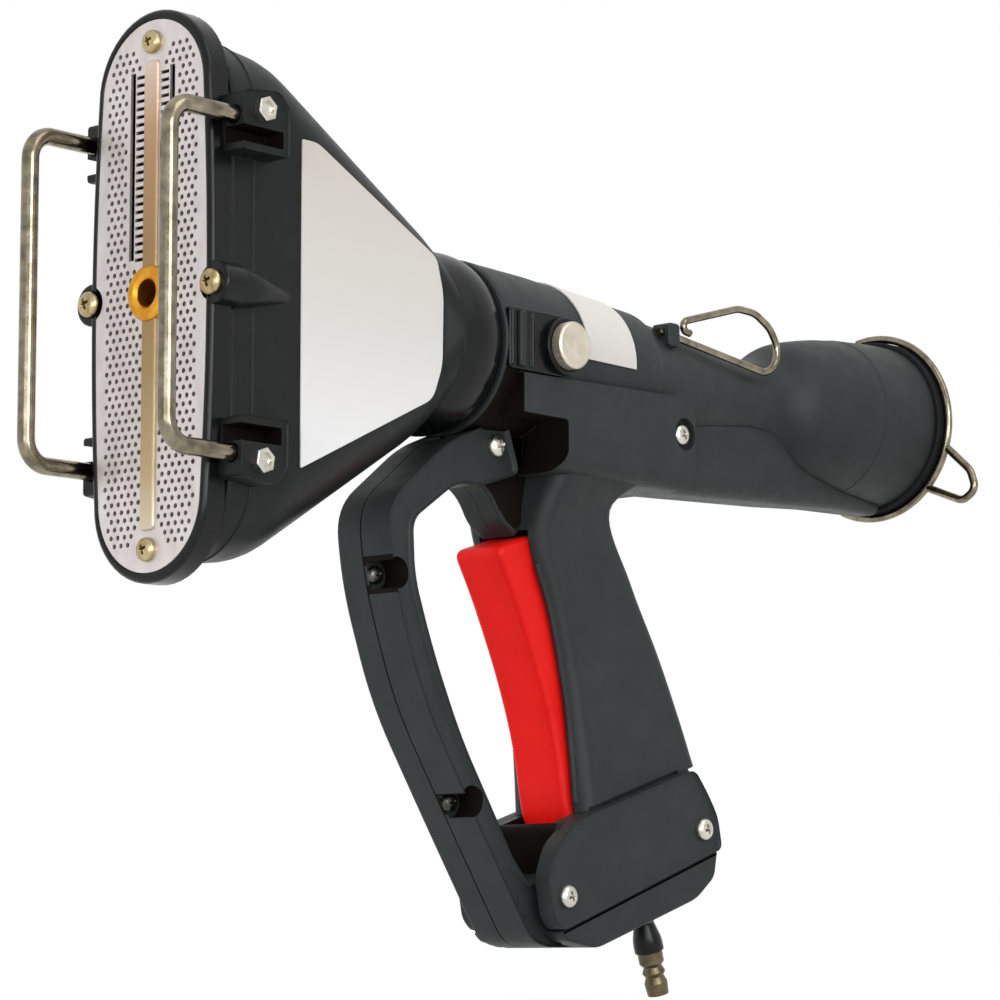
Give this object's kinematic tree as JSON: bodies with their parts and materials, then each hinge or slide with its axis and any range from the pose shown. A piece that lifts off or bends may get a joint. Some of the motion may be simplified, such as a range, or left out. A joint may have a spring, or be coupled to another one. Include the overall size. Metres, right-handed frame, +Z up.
{
  "type": "hot air tool",
  "caption": "Hand-held gas hot air tool with a tall flat burner head, a raked grip with a long trigger, a finger guard and a flared air intake at the back.",
  "frame": {"origin": "where the centre line of the raked hand grip meets the axis that the burner head swivels on", "axes": "-X is where the hot air leaves, +Z is up, -Y is the near side that the picture shows"},
  "size_m": [0.4516, 0.0962, 0.3413],
  "materials": {
    "charcoal_plastic": "matte",
    "gloss_black_plastic": "gloss",
    "red_plastic": "satin",
    "stainless_steel": "satin",
    "tinted_steel": "satin",
    "chrome_wire": "polished",
    "zinc_steel": "satin",
    "spring_steel": "satin",
    "yellow_zinc": "satin",
    "brass": "satin",
    "bronze": "satin",
    "dark_brass": "satin",
    "copper": "satin",
    "white_plate": "satin",
    "black_rubber": "matte",
    "ceramic": "satin",
    "red_silicone": "matte"
  },
  "bodies": {
    "frame": {"body_housing": "charcoal_plastic", "rear_barrel": "charcoal_plastic", "rear_bell": "charcoal_plastic", "rear_cap": "charcoal_plastic", "lower_fairing": "charcoal_plastic", "grip_shell_near": "charcoal_plastic", "grip_shell_far": "charcoal_plastic", "finger_guard_near": "charcoal_plastic", "finger_guard_far": "charcoal_plastic", "base_block": "charcoal_plastic", "base_cover_near": "charcoal_plastic", "base_cover_far": "charcoal_plastic", "lock_socket": "gloss_black_plastic", "piezo_igniter": "gloss_black_plastic", "inlet_washer": "gloss_black_plastic", "rear_wire_clip": "chrome_wire", "trigger_pin": "zinc_steel", "saddle_screw": "zinc_steel", "lug_screw": "zinc_steel", "guard_screw_upper": "zinc_steel", "guard_screw_lower": "zinc_steel", "base_screw_front": "zinc_steel", "base_screw_rear": "zinc_steel", "lock_spring": "spring_steel", "trigger_spring": "spring_steel", "gas_injector": "brass", "gas_valve": "brass", "swivel_bush": "bronze", "inlet_nut": "dark_brass", "gas_pipe_main": "copper", "name_plate": "white_plate", "intake_rim": "black_rubber", "ignition_lead": "red_silicone"},
    "head": {"head_shell": "charcoal_plastic", "front_rim": "gloss_black_plastic", "burner_plate": "stainless_steel", "injector_ring": "brass", "neck_collar": "gloss_black_plastic", "neck_seal": "black_rubber", "swivel_sleeve": "zinc_steel", "burner_tube": "tinted_steel", "electrode_insulator": "ceramic", "spark_electrode": "zinc_steel", "plate_screw_upper": "yellow_zinc", "plate_screw_lower": "yellow_zinc", "side_screw_near": "yellow_zinc", "side_screw_far": "yellow_zinc", "guard_rod_near": "chrome_wire", "guard_rod_far": "chrome_wire", "clamp_screw_near_upper": "zinc_steel", "clamp_screw_near_lower": "zinc_steel", "clamp_screw_far_upper": "zinc_steel", "clamp_screw_far_lower": "zinc_steel", "label_plate": "white_plate"},
    "lock_button": {"lock_knob": "zinc_steel"},
    "hanger": {"hang_loop": "chrome_wire"},
    "trigger_lever": {"trigger": "red_plastic"},
    "valve_slider": {"valve_stem": "zinc_steel"},
    "igniter_slider": {"igniter_plunger": "ceramic"},
    "hose_swivel": {"inlet_nipple": "dark_brass"}
  },
  "joints": [
    {"name": "head_swivel", "type": "hinge", "parent": "frame", "child": "head", "pos_m": [-0.04, 0, 0], "axis": [1, 0, 0], "continuous": true},
    {"name": "lock_pull", "type": "slide", "parent": "frame", "child": "lock_button", "axis": [0, -1, 0], "range_m": [0, 0.003], "stiffness_N_per_m": 900, "springref_m": -0.003, "deforming": ["lock_spring"]},
    {"name": "trigger_squeeze", "type": "hinge", "parent": "frame", "child": "trigger_lever", "pos_m": [0.01382, 0, -0.18018], "axis": [0, 1, 0], "range_deg": [0, 5], "stiffness_Nm_per_rad": 6, "springref_deg": -2.86, "deforming": ["trigger_spring"]},
    {"name": "valve_stroke", "type": "slide", "parent": "frame", "child": "valve_slider", "axis": [0.9537, 0, 0.3007], "range_m": [0, 0.00332]},
    {"name": "igniter_stroke", "type": "slide", "parent": "frame", "child": "igniter_slider", "axis": [0.9537, 0, 0.3007], "range_m": [0, 0.00768]},
    {"name": "hang_loop_swing", "type": "hinge", "parent": "frame", "child": "hanger", "pos_m": [0.056, -0.02, 0.01715], "axis": [0.9922, 0, -0.125], "range_deg": [-20, 60]},
    {"name": "hose_turn", "type": "hinge", "parent": "frame", "child": "hose_swivel", "pos_m": [0.06439, 0, -0.22086], "axis": [0.3007, 0, -0.9537], "continuous": true}
  ],
  "couplings": [
    {"joint": "valve_stroke", "follows": "trigger_squeeze", "m_per_rad": 0.038},
    {"joint": "igniter_stroke", "follows": "trigger_squeeze", "m_per_rad": 0.088}
  ]
}
